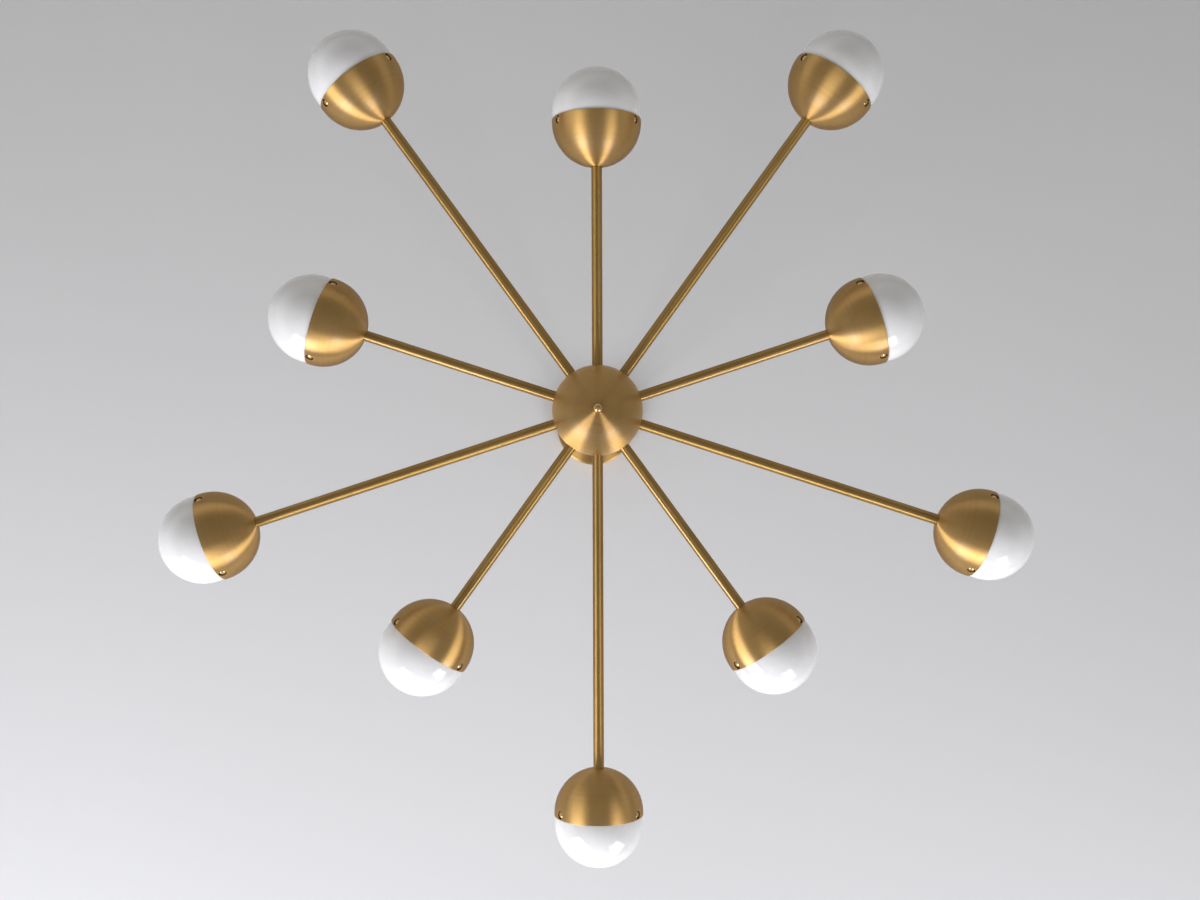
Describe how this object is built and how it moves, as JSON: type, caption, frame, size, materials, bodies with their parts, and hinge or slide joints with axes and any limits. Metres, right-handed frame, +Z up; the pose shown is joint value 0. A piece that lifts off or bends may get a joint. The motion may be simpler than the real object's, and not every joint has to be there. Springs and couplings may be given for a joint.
{
  "type": "sputnik chandelier",
  "caption": "Starburst ceiling light: level brass arms of two lengths round a ball hub, each ending in a brass dome cup with an opal glass globe, on a rigid stem and canopy.",
  "frame": {"origin": "where the stem's axis meets the ceiling plane, at the middle of the bracket's two slots", "axes": "+Z up, away from the hub; arm_01 points along -Y; the bracket's slots lie along X"},
  "size_m": [0.9796, 0.9365, 0.7109],
  "materials": {
    "spun_brass": "satin, spun",
    "satin_brass_tube": "satin, brushed along the tube",
    "turned_brass": "polished",
    "opal_glass": "glossy opal white",
    "bulb_glass": "frosted",
    "lampholder_ceramic": "glazed white",
    "zinc_steel": "zinc plated",
    "terminal_plastic": "plain"
  },
  "bodies": {
    "fixture": {"arm_01": "satin_brass_tube", "arm_02": "satin_brass_tube", "arm_03": "satin_brass_tube", "arm_04": "satin_brass_tube", "arm_05": "satin_brass_tube", "arm_06": "satin_brass_tube", "arm_07": "satin_brass_tube", "arm_08": "satin_brass_tube", "arm_09": "satin_brass_tube", "arm_10": "satin_brass_tube", "cup_01": "spun_brass", "cup_02": "spun_brass", "cup_03": "spun_brass", "cup_04": "spun_brass", "cup_05": "spun_brass", "cup_06": "spun_brass", "cup_07": "spun_brass", "cup_08": "spun_brass", "cup_09": "spun_brass", "cup_10": "spun_brass", "mounting_bracket": "zinc_steel", "hanger_nipple": "zinc_steel", "terminal_block": "terminal_plastic", "stem": "satin_brass_tube", "hub_pipe": "zinc_steel", "lock_nuts": "zinc_steel", "threaded_nipples": "zinc_steel", "hub_upper_shell": "spun_brass", "hub_core": "turned_brass", "hub_strap": "zinc_steel", "strap_screws": "zinc_steel", "finial_stud": "zinc_steel", "shade_screws": "turned_brass", "holder_bases": "zinc_steel", "lampholders": "lampholder_ceramic"},
    "canopy": {"canopy": "spun_brass", "canopy_collar": "turned_brass", "collar_screw": "turned_brass"},
    "hub_cover": {"hub_lower_shell": "spun_brass"},
    "finial": {"finial": "turned_brass"},
    "glass_01": {"glass_01": "opal_glass"},
    "bulb_01": {"bulb_01": "bulb_glass"},
    "glass_02": {"glass_02": "opal_glass"},
    "bulb_02": {"bulb_02": "bulb_glass"},
    "glass_03": {"glass_03": "opal_glass"},
    "bulb_03": {"bulb_03": "bulb_glass"},
    "glass_04": {"glass_04": "opal_glass"},
    "bulb_04": {"bulb_04": "bulb_glass"},
    "glass_05": {"glass_05": "opal_glass"},
    "bulb_05": {"bulb_05": "bulb_glass"},
    "glass_06": {"glass_06": "opal_glass"},
    "bulb_06": {"bulb_06": "bulb_glass"},
    "glass_07": {"glass_07": "opal_glass"},
    "bulb_07": {"bulb_07": "bulb_glass"},
    "glass_08": {"glass_08": "opal_glass"},
    "bulb_08": {"bulb_08": "bulb_glass"},
    "glass_09": {"glass_09": "opal_glass"},
    "bulb_09": {"bulb_09": "bulb_glass"},
    "glass_10": {"glass_10": "opal_glass"},
    "bulb_10": {"bulb_10": "bulb_glass"}
  },
  "joints": [
    {"name": "canopy_slide", "type": "slide", "parent": "fixture", "child": "canopy", "axis": [0, 0, -1], "range_m": [0, 0.557]},
    {"name": "hub_cover_drop", "type": "slide", "parent": "fixture", "child": "hub_cover", "axis": [0, 0, -1], "range_m": [0, 0.06]},
    {"name": "finial_turn", "type": "hinge", "parent": "hub_cover", "child": "finial", "pos_m": [0, 0, -0.70508], "axis": [0, 0, 1], "continuous": true},
    {"name": "glass_01_lift_off", "type": "slide", "parent": "fixture", "child": "glass_01", "axis": [0, -1, 0], "range_m": [0, 0.06]},
    {"name": "bulb_01_pull", "type": "slide", "parent": "fixture", "child": "bulb_01", "axis": [0, -1, 0], "range_m": [0, 0.02]},
    {"name": "glass_02_lift_off", "type": "slide", "parent": "fixture", "child": "glass_02", "axis": [0.5878, -0.809, 0], "range_m": [0, 0.06]},
    {"name": "bulb_02_pull", "type": "slide", "parent": "fixture", "child": "bulb_02", "axis": [0.5878, -0.809, 0], "range_m": [0, 0.02]},
    {"name": "glass_03_lift_off", "type": "slide", "parent": "fixture", "child": "glass_03", "axis": [0.9511, -0.309, 0], "range_m": [0, 0.06]},
    {"name": "bulb_03_pull", "type": "slide", "parent": "fixture", "child": "bulb_03", "axis": [0.9511, -0.309, 0], "range_m": [0, 0.02]},
    {"name": "glass_04_lift_off", "type": "slide", "parent": "fixture", "child": "glass_04", "axis": [0.9511, 0.309, 0], "range_m": [0, 0.06]},
    {"name": "bulb_04_pull", "type": "slide", "parent": "fixture", "child": "bulb_04", "axis": [0.9511, 0.309, 0], "range_m": [0, 0.02]},
    {"name": "glass_05_lift_off", "type": "slide", "parent": "fixture", "child": "glass_05", "axis": [0.5878, 0.809, 0], "range_m": [0, 0.06]},
    {"name": "bulb_05_pull", "type": "slide", "parent": "fixture", "child": "bulb_05", "axis": [0.5878, 0.809, 0], "range_m": [0, 0.02]},
    {"name": "glass_06_lift_off", "type": "slide", "parent": "fixture", "child": "glass_06", "axis": [0, 1, 0], "range_m": [0, 0.06]},
    {"name": "bulb_06_pull", "type": "slide", "parent": "fixture", "child": "bulb_06", "axis": [0, 1, 0], "range_m": [0, 0.02]},
    {"name": "glass_07_lift_off", "type": "slide", "parent": "fixture", "child": "glass_07", "axis": [-0.5878, 0.809, 0], "range_m": [0, 0.06]},
    {"name": "bulb_07_pull", "type": "slide", "parent": "fixture", "child": "bulb_07", "axis": [-0.5878, 0.809, 0], "range_m": [0, 0.02]},
    {"name": "glass_08_lift_off", "type": "slide", "parent": "fixture", "child": "glass_08", "axis": [-0.9511, 0.309, 0], "range_m": [0, 0.06]},
    {"name": "bulb_08_pull", "type": "slide", "parent": "fixture", "child": "bulb_08", "axis": [-0.9511, 0.309, 0], "range_m": [0, 0.02]},
    {"name": "glass_09_lift_off", "type": "slide", "parent": "fixture", "child": "glass_09", "axis": [-0.9511, -0.309, 0], "range_m": [0, 0.06]},
    {"name": "bulb_09_pull", "type": "slide", "parent": "fixture", "child": "bulb_09", "axis": [-0.9511, -0.309, 0], "range_m": [0, 0.02]},
    {"name": "glass_10_lift_off", "type": "slide", "parent": "fixture", "child": "glass_10", "axis": [-0.5878, -0.809, 0], "range_m": [0, 0.06]},
    {"name": "bulb_10_pull", "type": "slide", "parent": "fixture", "child": "bulb_10", "axis": [-0.5878, -0.809, 0], "range_m": [0, 0.02]}
  ]
}
